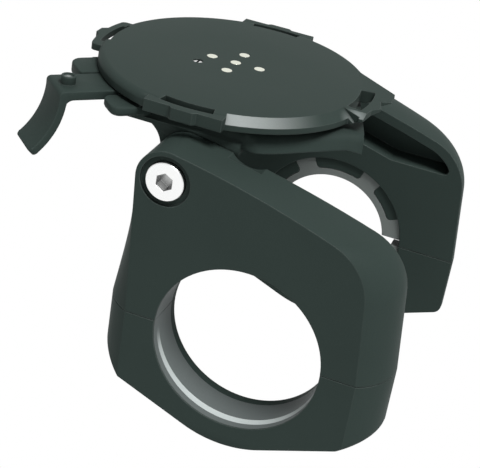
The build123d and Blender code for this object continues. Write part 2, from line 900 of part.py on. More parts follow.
def lever_spring():
    """Coil round the pin, with a leg under the plate."""
    half = coil_width / 2
    coil = lever_rod(coil_outer_radius, -half, half) - lever_rod(coil_inner_radius, -half, half)
    wire = coil_wire_radius
    high = plate_bottom_z - 2 * wire
    leg_end = pin_place - coil_inner_radius / 2
    leg = lever_block((leg_end - spring_leg, leg_end), (high, plate_bottom_z), (-wire, wire))
    return coil + leg


def write(node, piece):
    """Save one piece, or a group of equal pieces, under its node's name."""
    solids = []
    for item in piece if isinstance(piece, list) else [piece]:
        solids += item.solids()
    export_step(Compound(children=solids), f"parts/{node}.step")


os.makedirs("parts", exist_ok=True)

right_body = clamp_body()
right_cap = clamp_cap()
upper_liner = above(body_foot_z, liner())
lower_liner = below(cap_top_z, liner() - mouth_cut())
right_screws = cap_screws()
right_inserts = cap_inserts()

write("left_clamp_body", mirrored(right_body))
write("right_clamp_body", right_body + keys(0))
write("left_clamp_cap", mirrored(right_cap))
write("right_clamp_cap", right_cap)
write("left_upper_liner", mirrored(upper_liner))
write("left_lower_liner", mirrored(lower_liner))
write("right_upper_liner", upper_liner)
write("right_lower_liner", lower_liner)
write("spacer_upper", spacer_upper())
write("spacer_lower", spacer_lower())
write("left_pivot_bolt", mirrored(pivot_bolt()))
write("right_pivot_bolt", pivot_bolt())
write("pivot_inserts", [pivot_insert(), mirrored(pivot_insert())])
write("friction_washers", [friction_washer(), mirrored(friction_washer())])
write("cap_screws", right_screws + [mirrored(screw) for screw in right_screws])
write("cap_inserts", right_inserts + [mirrored(insert) for insert in right_inserts])
write("bridge", bridge())
write("docking_plate", docking_plate())
write("plate_screws", plate_screws())
write("contact_pads", contact_pads())
write("contact_carrier", contact_carrier())
write("contact_board", contact_board())
write("seal_ring", seal_ring())
write("locating_screw", locating_screw())
write("release_lever", release_lever())
write("lever_pin", lever_pin())
write("lever_spring", lever_spring())
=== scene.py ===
import bmesh
import bpy
import json
import math
from mathutils import Matrix, Vector


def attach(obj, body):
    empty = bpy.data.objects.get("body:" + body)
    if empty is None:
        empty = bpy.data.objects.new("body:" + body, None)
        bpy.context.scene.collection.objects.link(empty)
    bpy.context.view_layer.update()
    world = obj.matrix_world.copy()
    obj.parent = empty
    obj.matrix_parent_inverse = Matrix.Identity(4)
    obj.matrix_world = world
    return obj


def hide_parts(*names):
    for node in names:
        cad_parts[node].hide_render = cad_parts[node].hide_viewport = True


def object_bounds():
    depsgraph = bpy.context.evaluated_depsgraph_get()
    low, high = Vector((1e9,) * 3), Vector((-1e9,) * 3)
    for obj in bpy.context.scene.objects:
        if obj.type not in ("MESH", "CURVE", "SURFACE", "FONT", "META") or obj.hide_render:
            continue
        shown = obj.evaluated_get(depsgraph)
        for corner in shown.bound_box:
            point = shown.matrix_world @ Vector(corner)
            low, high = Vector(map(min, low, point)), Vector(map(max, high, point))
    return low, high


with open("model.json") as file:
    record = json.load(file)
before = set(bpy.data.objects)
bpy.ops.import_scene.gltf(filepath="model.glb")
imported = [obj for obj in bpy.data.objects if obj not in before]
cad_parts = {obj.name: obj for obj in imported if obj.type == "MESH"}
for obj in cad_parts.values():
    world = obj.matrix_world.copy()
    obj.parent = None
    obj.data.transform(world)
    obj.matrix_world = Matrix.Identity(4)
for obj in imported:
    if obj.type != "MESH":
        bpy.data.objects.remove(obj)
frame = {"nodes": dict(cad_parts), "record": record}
nodes = frame["nodes"]
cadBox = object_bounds()
scene = bpy.context.scene
print("frame loaded:", len(nodes), "nodes")

# camera at the product photo's viewing angle, in metres
cameraPlace = {
    "location": (-0.2330, -0.0542, 0.1333),
    "right": (0.3457, -0.9265, 0.1487),
    "up": (0.3979, 0.2883, 0.8709),
    "back": (-0.8498, -0.2419, 0.4683),
    "lens": 103.08,
    "sensorWidth": 36,  # millimetres, as the lens
    "nearest": 0.01,
    "furthest": 20,
}
studio = {
    "floorSize": 3.0,
    "floorDrop": 0.0012,
    "floorColour": (0.60, 0.60, 0.60, 1),
    "worldColour": (1, 1, 1, 1),
    "worldStrength": 0.10,
    "seenWhite": 1.0,  # what the camera, mirrors and clear pieces see instead of the grey
}
lamps = {
    "keySun": {"power": 2.36, "from": (-0.28, -0.38, 0.88), "spread": 0.40},
    "sideSun": {"power": 0.35, "from": (-0.95, -0.15, 0.25), "spread": 0.60},
}


def addCamera():
    data = bpy.data.cameras.new("camera")
    data.lens = cameraPlace["lens"]
    data.sensor_width = cameraPlace["sensorWidth"]
    data.clip_start = cameraPlace["nearest"]
    data.clip_end = cameraPlace["furthest"]
    camera = bpy.data.objects.new("camera", data)
    scene.collection.objects.link(camera)
    axes = [Vector(cameraPlace[key]).normalized() for key in ("right", "up", "back")]
    turn = Matrix(axes).transposed().to_4x4()
    camera.matrix_world = Matrix.Translation(cameraPlace["location"]) @ turn
    scene.camera = camera


def addLamps():
    for name, values in lamps.items():
        data = bpy.data.lights.new(name, "SUN")
        data.energy = values["power"]
        data.angle = values["spread"]
        lamp = bpy.data.objects.new(name, data)
        lamp.rotation_mode = "QUATERNION"
        lamp.rotation_quaternion = Vector(values["from"]).to_track_quat("Z", "Y")
        scene.collection.objects.link(lamp)


# white to the camera and to reflections, while the light itself stays plain
def addSeenWhite(tree, surface, white, output):
    path = tree.nodes.new("ShaderNodeLightPath")
    mirror = tree.nodes.new("ShaderNodeMath")
    mirror.operation = "MAXIMUM"
    seen = tree.nodes.new("ShaderNodeMath")
    seen.operation = "MAXIMUM"
    mix = tree.nodes.new("ShaderNodeMixShader")
    tree.links.new(path.outputs["Is Camera Ray"], mirror.inputs[0])
    tree.links.new(path.outputs["Is Glossy Ray"], mirror.inputs[1])
    tree.links.new(mirror.outputs[0], seen.inputs[0])
    tree.links.new(path.outputs["Is Transmission Ray"], seen.inputs[1])
    tree.links.new(seen.outputs[0], mix.inputs["Fac"])
    tree.links.new(surface.outputs[0], mix.inputs[1])
    tree.links.new(white.outputs[0], mix.inputs[2])
    tree.links.new(mix.outputs[0], output.inputs["Surface"])


def addFloor():
    bpy.ops.object.select_all(action="DESELECT")
    low = cadBox[0].z - studio["floorDrop"]
    bpy.ops.mesh.primitive_plane_add(size=studio["floorSize"], location=(0, 0, low))
    floor = bpy.context.active_object
    floor.name = "studioFloor"
    material = bpy.data.materials.new("palePaper")
    material.use_nodes = True
    tree = material.node_tree
    tree.nodes.clear()
    output = tree.nodes.new("ShaderNodeOutputMaterial")
    paper = tree.nodes.new("ShaderNodeBsdfDiffuse")
    paper.inputs["Color"].default_value = studio["floorColour"]
    white = tree.nodes.new("ShaderNodeEmission")
    white.inputs["Strength"].default_value = studio["seenWhite"]
    addSeenWhite(tree, paper, white, output)
    floor.data.materials.append(material)


def addWorld():
    world = bpy.data.worlds.new("softWorld")
    scene.world = world
    world.use_nodes = True
    tree = world.node_tree
    tree.nodes.clear()
    output = tree.nodes.new("ShaderNodeOutputWorld")
    soft = tree.nodes.new("ShaderNodeBackground")
    soft.inputs["Color"].default_value = studio["worldColour"]
    soft.inputs["Strength"].default_value = studio["worldStrength"]
    white = tree.nodes.new("ShaderNodeBackground")
    white.inputs["Strength"].default_value = studio["seenWhite"]
    addSeenWhite(tree, soft, white, output)


addCamera()
addWorld()
addFloor()
addLamps()
scene.view_settings.view_transform = "Standard"
print("studio ready")


def newGroup(name, inputs, outputs):
    group = bpy.data.node_groups.new(name, "ShaderNodeTree")
    for label, kind, value in inputs:
        socket = group.interface.new_socket(name=label, in_out="INPUT", socket_type=kind)
        if value is not None:
            socket.default_value = value
    for label, kind in outputs:
        group.interface.new_socket(name=label, in_out="OUTPUT", socket_type=kind)
    return group, group.nodes.new("NodeGroupInput"), group.nodes.new("NodeGroupOutput")


def mathNode(tree, operation, first, second):
    node = tree.nodes.new("ShaderNodeMath")
    node.operation = operation
    for socket, value in zip(node.inputs, (first, second)):
        if isinstance(value, (int, float)):
            socket.default_value = value
        else:
            tree.links.new(value, socket)
    return node.outputs[0]


def mixColour(tree, factor, first, second, blend="MIX"):
    node = tree.nodes.new("ShaderNodeMix")
    node.data_type = "RGBA"
    node.blend_type = blend
    colours = [socket for socket in node.inputs if socket.type == "RGBA"]
    for socket, value in zip([node.inputs[0]] + colours, (factor, first, second)):
        if isinstance(value, (int, float, tuple)):
            socket.default_value = value
        else:
            tree.links.new(value, socket)
    return [socket for socket in node.outputs if socket.type == "RGBA"][0]


def noiseOf(tree, scale, detail):
    place = tree.nodes.new("ShaderNodeTexCoord")
    noise = tree.nodes.new("ShaderNodeTexNoise")
    noise.inputs["Detail"].default_value = detail
    tree.links.new(place.outputs["Object"], noise.inputs["Vector"])
    tree.links.new(scale, noise.inputs["Scale"])
    return noise.outputs["Fac"]


def rampNode(tree, value, low, high, lowValue=0.0, highValue=1.0):
    node = tree.nodes.new("ShaderNodeMapRange")
    node.interpolation_type = "SMOOTHSTEP"
    tree.links.new(value, node.inputs["Value"])
    limits = zip(("From Min", "From Max", "To Min", "To Max"), (low, high, lowValue, highValue))
    for label, limit in limits:
        if isinstance(limit, (int, float)):
            node.inputs[label].default_value = limit
        else:
            tree.links.new(limit, node.inputs[label])
    return node.outputs["Result"]


# values inside the shader groups
shading = {
    "mottleDetail": 3, "grainDetail": 2, "grainDepth": 0.00006,
    "patchDetail": 3, "edgeSamples": 6, "edgeGain": 8.0, "recessSamples": 8,
}


# moulded or cast skin: a fine grain, slow mottling of the colour and of the gloss
def makeSkinGroup():
    group, start, end = newGroup(
        "mouldedSkin",
        [
            ("Colour", "NodeSocketColor", (0.05, 0.05, 0.05, 1)),
            ("Mottle Size", "NodeSocketFloat", 90.0),
            ("Mottle", "NodeSocketFloat", 0.1),
            ("Grain Size", "NodeSocketFloat", 3500.0),
            ("Grain Height", "NodeSocketFloat", 0.1),
            ("Roughness", "NodeSocketFloat", 0.5),
            ("Gloss Spread", "NodeSocketFloat", 0.1),
            ("Normal", "NodeSocketVector", None),
        ],
        [("Colour", "NodeSocketColor"), ("Roughness", "NodeSocketFloat"), ("Normal", "NodeSocketVector")],
    )
    mottle = noiseOf(group, start.outputs["Mottle Size"], shading["mottleDetail"])
    grain = noiseOf(group, start.outputs["Grain Size"], shading["grainDetail"])
    centred = mathNode(group, "SUBTRACT", mottle, 0.5)
    shade = mathNode(group, "MULTIPLY", centred, start.outputs["Mottle"])
    speck = mathNode(group, "SUBTRACT", grain, 0.5)
    fleck = mathNode(group, "MULTIPLY", speck, start.outputs["Mottle"])
    light = mathNode(group, "ADD", mathNode(group, "ADD", shade, fleck), 1.0)
    grey = group.nodes.new("ShaderNodeCombineColor")
    for socket in grey.inputs:
        group.links.new(light, socket)
    colour = mixColour(group, 1.0, start.outputs["Colour"], grey.outputs[0], "MULTIPLY")
    gloss = mathNode(group, "MULTIPLY", centred, start.outputs["Gloss Spread"])
    rough = mathNode(group, "ADD", start.outputs["Roughness"], gloss)
    bump = group.nodes.new("ShaderNodeBump")
    bump.inputs["Distance"].default_value = shading["grainDepth"]
    group.links.new(start.outputs["Grain Height"], bump.inputs["Strength"])
    group.links.new(grain, bump.inputs["Height"])
    group.links.new(start.outputs["Normal"], bump.inputs["Normal"])
    group.links.new(colour, end.inputs["Colour"])
    group.links.new(rough, end.inputs["Roughness"])
    group.links.new(bump.outputs[0], end.inputs["Normal"])
    return group


# softened, lighter edges: partly scuffed, as on a part that has been handled, and partly a painted
# highlight along the edges
def makeEdgeGroup():
    group, start, end = newGroup(
        "softEdge",
        [
            ("Colour", "NodeSocketColor", (0.05, 0.05, 0.05, 1)),
            ("Worn And Highlight Colour", "NodeSocketColor", (0.2, 0.2, 0.2, 1)),
            ("Wear And Highlight", "NodeSocketFloat", 0.5),
            ("Edge Width", "NodeSocketFloat", 0.0003),
            ("Patch Size", "NodeSocketFloat", 400.0),
        ],
        [("Colour", "NodeSocketColor"), ("Mask", "NodeSocketFloat"), ("Normal", "NodeSocketVector")],
    )
    bevel = group.nodes.new("ShaderNodeBevel")
    bevel.samples = shading["edgeSamples"]
    group.links.new(start.outputs["Edge Width"], bevel.inputs["Radius"])
    shape = group.nodes.new("ShaderNodeNewGeometry")
    dot = group.nodes.new("ShaderNodeVectorMath")
    dot.operation = "DOT_PRODUCT"
    group.links.new(bevel.outputs[0], dot.inputs[0])
    group.links.new(shape.outputs["Normal"], dot.inputs[1])
    bent = mathNode(group, "SUBTRACT", 1.0, dot.outputs["Value"])
    patches = noiseOf(group, start.outputs["Patch Size"], shading["patchDetail"])
    wearAndHighlight = mathNode(group, "MULTIPLY", patches, start.outputs["Wear And Highlight"])
    mask = mathNode(group, "MULTIPLY", bent, wearAndHighlight)
    mask = mathNode(group, "MULTIPLY", mask, shading["edgeGain"])
    mask = mathNode(group, "MINIMUM", mathNode(group, "MAXIMUM", mask, 0.0), 1.0)
    colour = mixColour(group, mask, start.outputs["Colour"], start.outputs["Worn And Highlight Colour"])
    group.links.new(colour, end.inputs["Colour"])
    group.links.new(mask, end.inputs["Mask"])
    group.links.new(bevel.outputs[0], end.inputs["Normal"])
    return group


# painted shade: darker colour in sockets, slots and inner corners, where less light reaches
def makeRecessGroup():
    group, start, end = newGroup(
        "recessShade",
        [
            ("Colour", "NodeSocketColor", (0.05, 0.05, 0.05, 1)),
            ("Shade Colour", "NodeSocketColor", (0.006, 0.008, 0.007, 1)),
            ("Depth", "NodeSocketFloat", 0.003),
            ("Strength", "NodeSocketFloat", 0.6),
        ],
        [("Colour", "NodeSocketColor"), ("Mask", "NodeSocketFloat")],
    )
    near = group.nodes.new("ShaderNodeAmbientOcclusion")
    near.samples = shading["recessSamples"]
    group.links.new(start.outputs["Depth"], near.inputs["Distance"])
    closed = mathNode(group, "SUBTRACT", 1.0, near.outputs["AO"])
    mask = mathNode(group, "MULTIPLY", closed, start.outputs["Strength"])
    colour = mixColour(group, mask, start.outputs["Colour"], start.outputs["Shade Colour"])
    group.links.new(colour, end.inputs["Colour"])
    group.links.new(mask, end.inputs["Mask"])
    return group


# painted highlight: paler colour on facets that lean between two limits from an axis, round one place,
# where light catches them
def makePaintedHighlightGroup():
    group, start, end = newGroup(
        "paintedHighlightFacet",
        [
            ("Colour", "NodeSocketColor", (0.05, 0.05, 0.05, 1)),
            ("Painted Highlight Colour", "NodeSocketColor", (0.3, 0.3, 0.3, 1)),
            ("Axis", "NodeSocketVector", (1, 0, 0)),
            ("Least Lean", "NodeSocketFloat", 0.05),
            ("Full Lean", "NodeSocketFloat", 0.2),
            ("Most Lean", "NodeSocketFloat", 0.6),
            ("Place", "NodeSocketVector", (0, 0, 0)),
            ("Spread", "NodeSocketFloat", 0.02),
        ],
        [("Colour", "NodeSocketColor"), ("Mask", "NodeSocketFloat")],
    )
    place = group.nodes.new("ShaderNodeTexCoord")
    dot = group.nodes.new("ShaderNodeVectorMath")
    dot.operation = "DOT_PRODUCT"
    group.links.new(place.outputs["Normal"], dot.inputs[0])
    group.links.new(start.outputs["Axis"], dot.inputs[1])
    lean = mathNode(group, "ABSOLUTE", dot.outputs["Value"], 0.0)
    rise = rampNode(group, lean, start.outputs["Least Lean"], start.outputs["Full Lean"])
    over = mathNode(group, "LESS_THAN", lean, start.outputs["Most Lean"])
    away = group.nodes.new("ShaderNodeVectorMath")
    away.operation = "DISTANCE"
    group.links.new(place.outputs["Object"], away.inputs[0])
    group.links.new(start.outputs["Place"], away.inputs[1])
    fade = rampNode(group, away.outputs["Value"], 0.0, start.outputs["Spread"], 1.0, 0.0)
    mask = mathNode(group, "MULTIPLY", mathNode(group, "MULTIPLY", rise, over), fade)
    colour = mixColour(group, mask, start.outputs["Colour"], start.outputs["Painted Highlight Colour"])
    group.links.new(colour, end.inputs["Colour"])
    group.links.new(mask, end.inputs["Mask"])
    return group


skinGroup = makeSkinGroup()
edgeGroup = makeEdgeGroup()
recessGroup = makeRecessGroup()
paintedHighlightGroup = makePaintedHighlightGroup()
print("shader groups ready")

# one entry for each finish; edge is the width of the softened edge in metres; the lighter edge colour is
# partly scuffing and partly a painted highlight
plastics = {
    "shell": {
        "colour": (0.047, 0.068, 0.061, 1), "wornAndHighlight": (0.16, 0.19, 0.18, 1), "wearAndHighlight": 0.5, "edge": 0.00035,
        "rough": 0.55, "gloss": 0.12, "mottle": 0.14, "grain": 0.25, "specular": 0.05,
    },
    "plate": {
        "colour": (0.048, 0.068, 0.061, 1), "wornAndHighlight": (0.18, 0.21, 0.20, 1), "wearAndHighlight": 0.4, "edge": 0.0003,
        "rough": 0.52, "gloss": 0.12, "mottle": 0.12, "grain": 0.2, "specular": 0.05,
    },
    "liner": {
        "colour": (0.165, 0.19, 0.187, 1), "wornAndHighlight": (0.40, 0.42, 0.41, 1), "wearAndHighlight": 0.3, "edge": 0.0001,
        "rough": 0.60, "gloss": 0.10, "mottle": 0.12, "grain": 0.3, "specular": 0.2,
    },
    "spacer": {
        "colour": (0.255, 0.285, 0.275, 1), "wornAndHighlight": (0.5, 0.52, 0.51, 1), "wearAndHighlight": 0.4, "edge": 0.0002,
        "rough": 0.55, "gloss": 0.10, "mottle": 0.10, "grain": 0.2, "specular": 0.2,
    },
    "washer": {
        "colour": (0.030, 0.035, 0.034, 1), "wornAndHighlight": (0.1, 0.1, 0.1, 1), "wearAndHighlight": 0.3, "edge": 0.0001,
        "rough": 0.60, "gloss": 0.10, "mottle": 0.10, "grain": 0.2, "specular": 0.2,
    },
    "carrier": {
        "colour": (0.040, 0.045, 0.045, 1), "wornAndHighlight": (0.1, 0.1, 0.1, 1), "wearAndHighlight": 0.2, "edge": 0.0001,
        "rough": 0.60, "gloss": 0.10, "mottle": 0.10, "grain": 0.2, "specular": 0.3,
    },
    "board": {
        "colour": (0.030, 0.160, 0.080, 1), "wornAndHighlight": (0.4, 0.3, 0.15, 1), "wearAndHighlight": 0.3, "edge": 0.0001,
        "rough": 0.40, "gloss": 0.10, "mottle": 0.20, "grain": 0.1, "specular": 0.5,
    },
    "seal": {
        "colour": (0.030, 0.030, 0.030, 1), "wornAndHighlight": (0.1, 0.1, 0.1, 1), "wearAndHighlight": 0.1, "edge": 0.0001,
        "rough": 0.70, "gloss": 0.10, "mottle": 0.10, "grain": 0.4, "specular": 0.2,
    },
}
metals = {
    "screw": {
        "colour": (0.97, 0.975, 0.97, 1), "wornAndHighlight": (0.97, 0.97, 0.97, 1), "wearAndHighlight": 0.5, "edge": 0.00012,
        "rough": 0.26, "gloss": 0.14, "mottle": 0.05, "grain": 0.15,
    },
    "insert": {
        "colour": (0.62, 0.50, 0.27, 1), "wornAndHighlight": (0.8, 0.7, 0.45, 1), "wearAndHighlight": 0.5, "edge": 0.0001,
        "rough": 0.35, "gloss": 0.14, "mottle": 0.10, "grain": 0.2,
    },
    "contact": {
        "colour": (0.96, 0.985, 0.85, 1), "wornAndHighlight": (1.0, 1.0, 0.9, 1), "wearAndHighlight": 0.3, "edge": 0.0001,
        "rough": 0.22, "gloss": 0.10, "mottle": 0.04, "grain": 0.05,
    },
}

# painted highlights: places painted paler where light catches a facet
paintedHighlights = {
    "shell": [
        # painted highlight in the peg's dished top
        {
            "paintedHighlight": (0.42, 0.46, 0.45, 1), "axis": (0, 0, 1), "least": 0.55, "full": 0.8, "most": 1.1,
            "place": (-0.0234, 0.0420, 0.0382), "spread": 0.0012,
        },
    ],
    "liner": [
        # painted highlight on the liner's mouth bevel
        {
            "paintedHighlight": (0.68, 0.74, 0.73, 1), "axis": (1, 0, 0), "least": 0.03, "full": 0.16, "most": 0.7,
            "place": (-0.0305, 0, -0.016), "spread": 0.060,
        },
    ],
    "plate": [
        # painted highlight along the plate's rim ramp
        {
            "paintedHighlight": (0.46, 0.50, 0.49, 1), "axis": (0, 0, 1), "least": 0.66, "full": 0.72, "most": 0.90,
            "place": (-0.0246, 0.0101, 0.0395), "spread": 0.0185,
        },
        # painted highlight on the plate's nose facet
        {
            "paintedHighlight": (0.33, 0.37, 0.36, 1), "axis": (0, 0, 1), "least": 0.30, "full": 0.45, "most": 0.92,
            "place": (-0.0072, -0.0076, 0.0390), "spread": 0.0032,
        },
    ],
}
# painted shade in recesses and inner corners
recesses = {"depth": 0.0035, "strength": 0.75}  # how far shade reaches, in metres, and how dark it gets


def addGroup(tree, group, values):
    node = tree.nodes.new("ShaderNodeGroup")
    node.node_tree = group
    for label, value in values.items():
        if hasattr(value, "is_output"):
            tree.links.new(value, node.inputs[label])
        else:
            node.inputs[label].default_value = value
    return node


def makeFinish(name, values, metallic):
    material = bpy.data.materials.new(name)
    material.use_nodes = True
    tree = material.node_tree
    shader = tree.nodes["Principled BSDF"]
    colour = values["colour"]
    # painted highlights: paler colour on the listed facets, where light catches them
    for highlightSpot in paintedHighlights.get(name, []):
        paintedHighlight = addGroup(tree, paintedHighlightGroup, {
            "Colour": colour, "Painted Highlight Colour": highlightSpot["paintedHighlight"], "Axis": highlightSpot["axis"],
            "Least Lean": highlightSpot["least"], "Full Lean": highlightSpot["full"], "Most Lean": highlightSpot["most"],
            "Place": highlightSpot["place"], "Spread": highlightSpot["spread"],
        })
        colour = paintedHighlight.outputs["Colour"]
    # lighter edges: partly scuffing, partly a painted highlight
    edge = addGroup(tree, edgeGroup, {
        "Colour": colour, "Worn And Highlight Colour": values["wornAndHighlight"],
        "Wear And Highlight": values["wearAndHighlight"], "Edge Width": values["edge"],
    })
    # painted shade: darker colour in recesses and inner corners
    recess = addGroup(tree, recessGroup, {
        "Colour": edge.outputs["Colour"], "Depth": recesses["depth"], "Strength": recesses["strength"],
    })
    skin = addGroup(tree, skinGroup, {
        "Colour": recess.outputs["Colour"], "Normal": edge.outputs["Normal"],
        "Mottle": values["mottle"], "Grain Height": values["grain"],
        "Roughness": values["rough"], "Gloss Spread": values["gloss"],
    })
    tree.links.new(skin.outputs["Colour"], shader.inputs["Base Color"])
    tree.links.new(skin.outputs["Roughness"], shader.inputs["Roughness"])
    tree.links.new(skin.outputs["Normal"], shader.inputs["Normal"])
    shader.inputs["Metallic"].default_value = metallic
    if "specular" in values:
        shader.inputs["Specular IOR Level"].default_value = values["specular"]
    return material


finishes = {name: makeFinish(name, values, 0) for name, values in plastics.items()}
finishes.update({name: makeFinish(name, values, 1) for name, values in metals.items()})
for part in frame["record"]["subparts"]:
    node = nodes[part["node"]]
    node.data.materials.clear()
    node.data.materials.append(finishes[part["material_slot"]])
print("finishes ready:", len(finishes))

# new pieces are drawn in millimetres
mm = 0.001
leverFrame = {"turn": 135, "centreY": 18.6}  # x runs out along the lever, y across it
modelling = {
    "tolerance": 0.01, "leastEdge": 1, "weld": 0.001, "merge": 0.005,
    "rodSides": 40, "roundSegments": 5, "softSegments": 3, "softAngle": 32, "smoothAngle": 34,
}


def onlyThis(piece):
    bpy.ops.object.select_all(action="DESELECT")
    piece.select_set(True)
    bpy.context.view_layer.objects.active = piece


def newBox(name, low, high):
    bpy.ops.object.select_all(action="DESELECT")
    middle = [(first + last) / 2 * mm for first, last in zip(low, high)]
    bpy.ops.mesh.primitive_cube_add(size=1, location=middle)
    piece = bpy.context.active_object
    piece.name = name
    piece.scale = [(last - first) * mm for first, last in zip(low, high)]
    bpy.ops.object.transform_apply(location=True, rotation=False, scale=True)
    return piece


# round bar from one point to another, which differ on one axis only
def newRod(name, radius, first, last, sides=modelling["rodSides"]):
    bpy.ops.object.select_all(action="DESELECT")
    span = Vector(last) - Vector(first)
    middle = (Vector(first) + Vector(last)) / 2 * mm
    turn = span.to_track_quat("Z", "Y").to_euler()
    bpy.ops.mesh.primitive_cylinder_add(
        vertices=sides, radius=radius * mm, depth=span.length * mm, location=middle, rotation=turn
    )
    piece = bpy.context.active_object
    piece.name = name
    bpy.ops.object.transform_apply(location=True, rotation=True, scale=True)
    return piece


def startEdit(piece):
    onlyThis(piece)
    bpy.ops.object.mode_set(mode="EDIT")


def endEdit():
    bpy.ops.object.mode_set(mode="OBJECT")


# select the faces or edges whose corners, in millimetres, pass a test
def pick(piece, kind, test):
    bpy.ops.mesh.select_mode(type=kind)
    bpy.ops.mesh.select_all(action="DESELECT")
    mesh = bmesh.from_edit_mesh(piece.data)
    for item in mesh.faces if kind == "FACE" else mesh.edges:
        if test([corner.co / mm for corner in item.verts]):
            item.select_set(True)
    mesh.select_flush_mode()
    bmesh.update_edit_mesh(piece.data)


def within(points, axis, low, high):
    slack = modelling["tolerance"]
    return all(low - slack <= getattr(point, axis) <= high + slack for point in points)


def atPlace(points, axis, value):
    return within(points, axis, value, value)


# does an edge run along an axis for more than a millimetre
def runsAlong(ends, axis):
    return abs(getattr(ends[0], axis) - getattr(ends[1], axis)) > modelling["leastEdge"]


def bevelPicked(piece, test, width, segments=modelling["roundSegments"]):
    pick(piece, "EDGE", test)
    bpy.ops.mesh.bevel(offset=width * mm, segments=segments, affect="EDGES")


def applyLast(piece):
    onlyThis(piece)
    bpy.ops.object.modifier_apply(modifier=piece.modifiers[-1].name)


def softenEdges(piece, width):
    soften = piece.modifiers.new("softened", "BEVEL")
    soften.width = width * mm
    soften.segments = modelling["softSegments"]
    soften.limit_method = "ANGLE"
    soften.angle_limit = math.radians(modelling["softAngle"])
    applyLast(piece)


# join or cut a piece with a tool, which is then gone
def cutWith(piece, tool, operation):
    cut = piece.modifiers.new("cut", "BOOLEAN")
    cut.operation = operation
    cut.solver = "EXACT"
    cut.object = tool
    applyLast(piece)
    bpy.data.objects.remove(tool, do_unlink=True)


# turn a piece from the lever's frame into the object's own
def turnFromLever(piece):
    place = Matrix.Translation((0, leverFrame["centreY"] * mm, 0))
    turn = Matrix.Rotation(math.radians(leverFrame["turn"]), 4, "Z")
    piece.matrix_world = place @ turn @ piece.matrix_world
    onlyThis(piece)
    bpy.ops.object.transform_apply(location=True, rotation=True, scale=True)


# clean and smooth a piece that stands in the object's frame, and give it its finish and body
def finishPiece(piece, slotName, body, stoodFor=()):
    startEdit(piece)
    bpy.ops.mesh.select_all(action="SELECT")
    bpy.ops.mesh.remove_doubles(threshold=modelling["merge"] * mm)
    bpy.ops.mesh.normals_make_consistent(inside=False)
    endEdit()
    bpy.ops.object.shade_smooth_by_angle(angle=math.radians(modelling["smoothAngle"]))
    piece.data.materials.clear()
    piece.data.materials.append(finishes[slotName])
    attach(piece, body)
    if stoodFor:
        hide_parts(*stoodFor)
    print("made", piece.name, len(piece.data.polygons), "faces")


# release lever: x out along the arm, y across it, z up
lever = {
    "start": 24.0, "end": 35.65, "halfWidth": 4.0, "top": 36.8, "foot": 35.1,
    "bendRadius": 13.55, "thickness": 1.45, "bendHeight": 35.95, "sweep": 46.9, "steps": 14,
    "tipRound": 0.9, "tipStart": 40.3, "tipSlack": 0.2, "topRound": 0.8, "innerRound": 1.3, "soft": 0.28,
    "tailStart": 19.8, "tailTop": 36.0, "tailFoot": 34.8, "tailInset": 0.12, "tailLap": 0.5,
    "pinHeight": 35.4, "pinHole": 0.85, "holeHalf": 9, "hubRadius": 1.4, "hubInset": 0.06,
    "slotHalf": 1.5, "slotStart": 0, "slotEnd": 25.35, "slotFoot": 30, "slotTop": 40,
}
peg = {
    "place": 32.9, "radius": 1.35, "top": 38.35, "foot": 36.0, "sides": 48, "soft": 0.12,
    "dishInset": 0.36, "dishWall": 0.10, "dishDepth": 0.30,
    "stubInset": 0.42, "stubWall": 0.10, "stubRise": 0.16,
}


# spin the arm's foot round into the curved handle
def sweepHandle(piece, inner):
    end, foot = lever["end"], lever["foot"]
    pick(piece, "FACE", lambda p: atPlace(p, "z", foot) and within(p, "x", inner, end))
    bpy.ops.mesh.spin(
        steps=lever["steps"], angle=math.radians(lever["sweep"]), axis=(0, 1, 0),
        center=((end + lever["bendRadius"]) * mm, 0, lever["bendHeight"] * mm),
    )


# round the corners of the handle's tip, where short edges run through its thickness
def roundTip(piece):
    mesh = bmesh.from_edit_mesh(piece.data)
    lowest = min(corner.co.z for corner in mesh.verts) / mm
    thick = lever["thickness"]

    def atTip(ends):
        first, last = ends
        through = abs((first - last).length - thick) < lever["tipSlack"] and first.z != last.z
        level = abs(first.y - last.y) < modelling["tolerance"]
        far = max(first.x, last.x) > lever["tipStart"]
        return through and level and far and max(first.z, last.z) <= lowest + thick

    bevelPicked(piece, atTip, lever["tipRound"])


